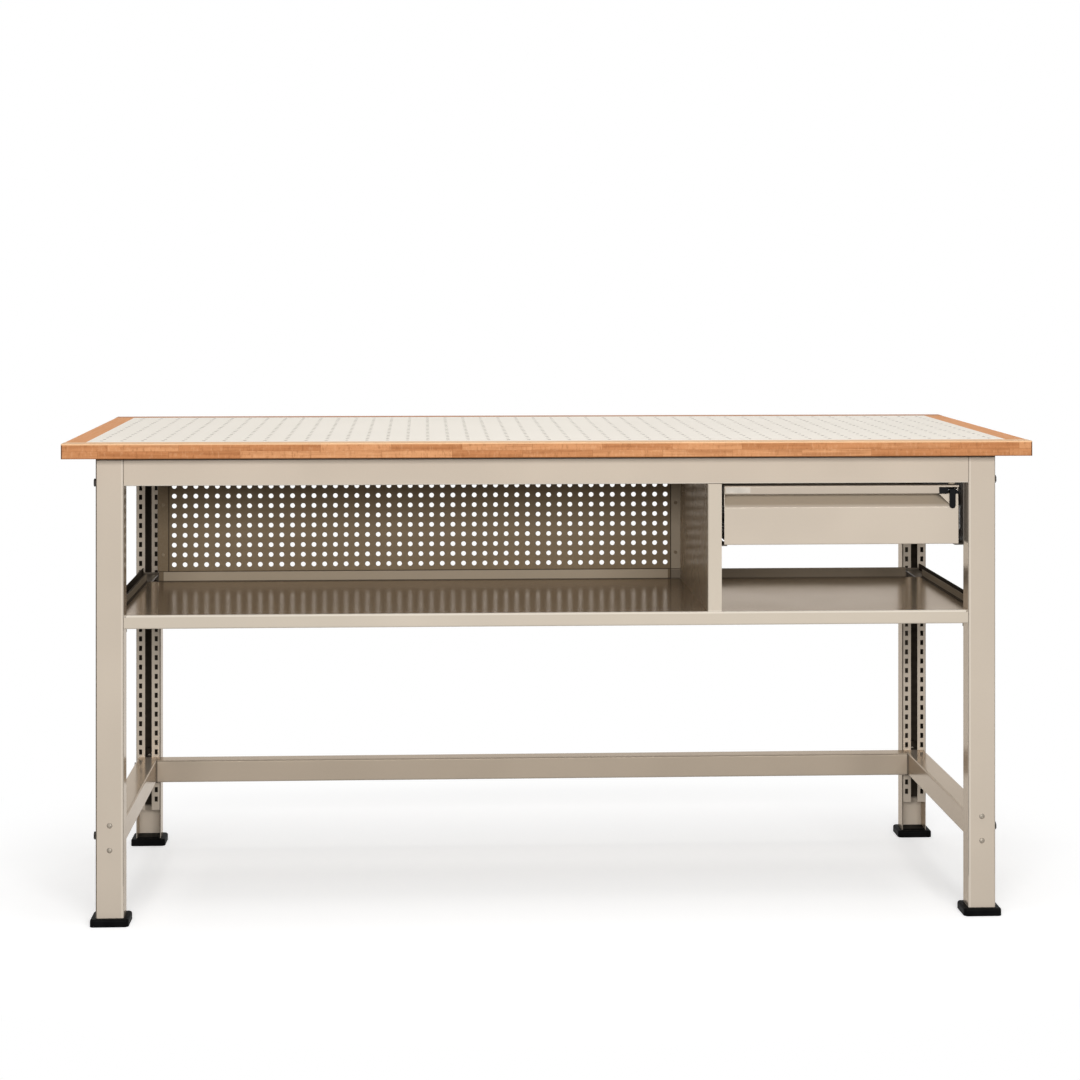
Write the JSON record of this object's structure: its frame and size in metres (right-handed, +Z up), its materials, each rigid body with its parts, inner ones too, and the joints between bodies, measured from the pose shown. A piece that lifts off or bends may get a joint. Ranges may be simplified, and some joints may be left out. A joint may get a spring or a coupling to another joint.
{
  "type": "workbench",
  "caption": "Steel workbench with a wood-edged perforated top, slotted legs, a full-width shelf, a perforated back panel, a divider and a latched drawer on ball slides.",
  "frame": {"origin": "on the floor, below the middle of the worktop", "axes": "+X along the bench to the user's right, +Y to the rear, +Z up"},
  "size_m": [1.8, 0.75, 0.9],
  "materials": {
    "coat": "satin powder coat",
    "beech": "oiled",
    "top_panel": "matt laminate on board",
    "top_core": "raw board",
    "foot_rubber": "matt",
    "bolt_steel": "zinc plated",
    "slide_steel": "zinc plated",
    "latch_plastic": "fine grain",
    "label": "satin, blank"
  },
  "bodies": {
    "bench": {"leg_front_left": "coat", "leg_front_right": "coat", "leg_rear_left": "coat", "leg_rear_right": "coat", "front_apron": "coat", "rear_apron": "coat", "side_top_rail_left": "coat", "side_top_rail_right": "coat", "side_stretcher_left": "coat", "side_stretcher_right": "coat", "rear_stretcher": "coat", "shelf": "coat", "shelf_rail_left": "coat", "shelf_rail_right": "coat", "back_panel": "coat", "panel_bracket": "coat", "divider": "coat", "drawer_hanger_left": "coat", "drawer_hanger_right": "coat", "edge_band_front": "beech", "edge_band_rear": "beech", "edge_band_left": "beech", "edge_band_right": "beech", "worktop_panel": "top_panel", "worktop_core": "top_core", "foot_front_left": "foot_rubber", "foot_front_right": "foot_rubber", "foot_rear_left": "foot_rubber", "foot_rear_right": "foot_rubber", "leg_web_bolts": "bolt_steel", "leg_side_bolts": "bolt_steel", "apron_bolts": "bolt_steel", "rear_stretcher_bolts": "bolt_steel", "shelf_rail_bolts": "bolt_steel", "worktop_screws": "bolt_steel", "sheet_screws": "bolt_steel", "slide_rivets_frame": "bolt_steel", "slide_outer_left": "slide_steel", "slide_outer_right": "slide_steel", "latch_keeper": "coat"},
    "drawer": {"drawer_tray": "coat", "drawer_front": "coat", "handle_rail": "coat", "slide_inner_left": "slide_steel", "slide_inner_right": "slide_steel", "drawer_screws": "bolt_steel", "slide_rivets_drawer": "bolt_steel", "label_plate": "label", "latch_body": "latch_plastic", "latch_pin": "slide_steel", "latch_spring": "slide_steel"},
    "latch": {"latch_lever": "latch_plastic"},
    "slide_middle_left_body": {"slide_middle_left": "slide_steel"},
    "slide_middle_right_body": {"slide_middle_right": "slide_steel"},
    "ball_cage_outer_left_body": {"ball_cage_outer_left": "slide_steel"},
    "ball_cage_outer_right_body": {"ball_cage_outer_right": "slide_steel"},
    "ball_cage_inner_left_body": {"ball_cage_inner_left": "slide_steel"},
    "ball_cage_inner_right_body": {"ball_cage_inner_right": "slide_steel"}
  },
  "joints": [
    {"name": "drawer_slide", "type": "slide", "parent": "bench", "child": "drawer", "axis": [0, -1, 0], "range_m": [0, 0.36]},
    {"name": "slide_middle_left_slide", "type": "slide", "parent": "bench", "child": "slide_middle_left_body", "axis": [0, -1, 0], "range_m": [0, 0.18]},
    {"name": "slide_middle_right_slide", "type": "slide", "parent": "bench", "child": "slide_middle_right_body", "axis": [0, -1, 0], "range_m": [0, 0.18]},
    {"name": "ball_cage_outer_left_slide", "type": "slide", "parent": "bench", "child": "ball_cage_outer_left_body", "axis": [0, -1, 0], "range_m": [0, 0.09]},
    {"name": "ball_cage_outer_right_slide", "type": "slide", "parent": "bench", "child": "ball_cage_outer_right_body", "axis": [0, -1, 0], "range_m": [0, 0.09]},
    {"name": "ball_cage_inner_left_slide", "type": "slide", "parent": "bench", "child": "ball_cage_inner_left_body", "axis": [0, -1, 0], "range_m": [0, 0.27]},
    {"name": "ball_cage_inner_right_slide", "type": "slide", "parent": "bench", "child": "ball_cage_inner_right_body", "axis": [0, -1, 0], "range_m": [0, 0.27]},
    {"name": "latch_turn", "type": "hinge", "parent": "drawer", "child": "latch", "pos_m": [0.7633, -0.308, 0.8025], "axis": [-1, 0, 0], "range_deg": [0, 15], "stiffness_Nm_per_rad": 0.05}
  ],
  "couplings": [
    {"joint": "slide_middle_left_slide", "follows": "drawer_slide", "ratio": 0.5},
    {"joint": "slide_middle_right_slide", "follows": "drawer_slide", "ratio": 0.5},
    {"joint": "ball_cage_outer_left_slide", "follows": "drawer_slide", "ratio": 0.25},
    {"joint": "ball_cage_outer_right_slide", "follows": "drawer_slide", "ratio": 0.25},
    {"joint": "ball_cage_inner_left_slide", "follows": "drawer_slide", "ratio": 0.75},
    {"joint": "ball_cage_inner_right_slide", "follows": "drawer_slide", "ratio": 0.75}
  ]
}
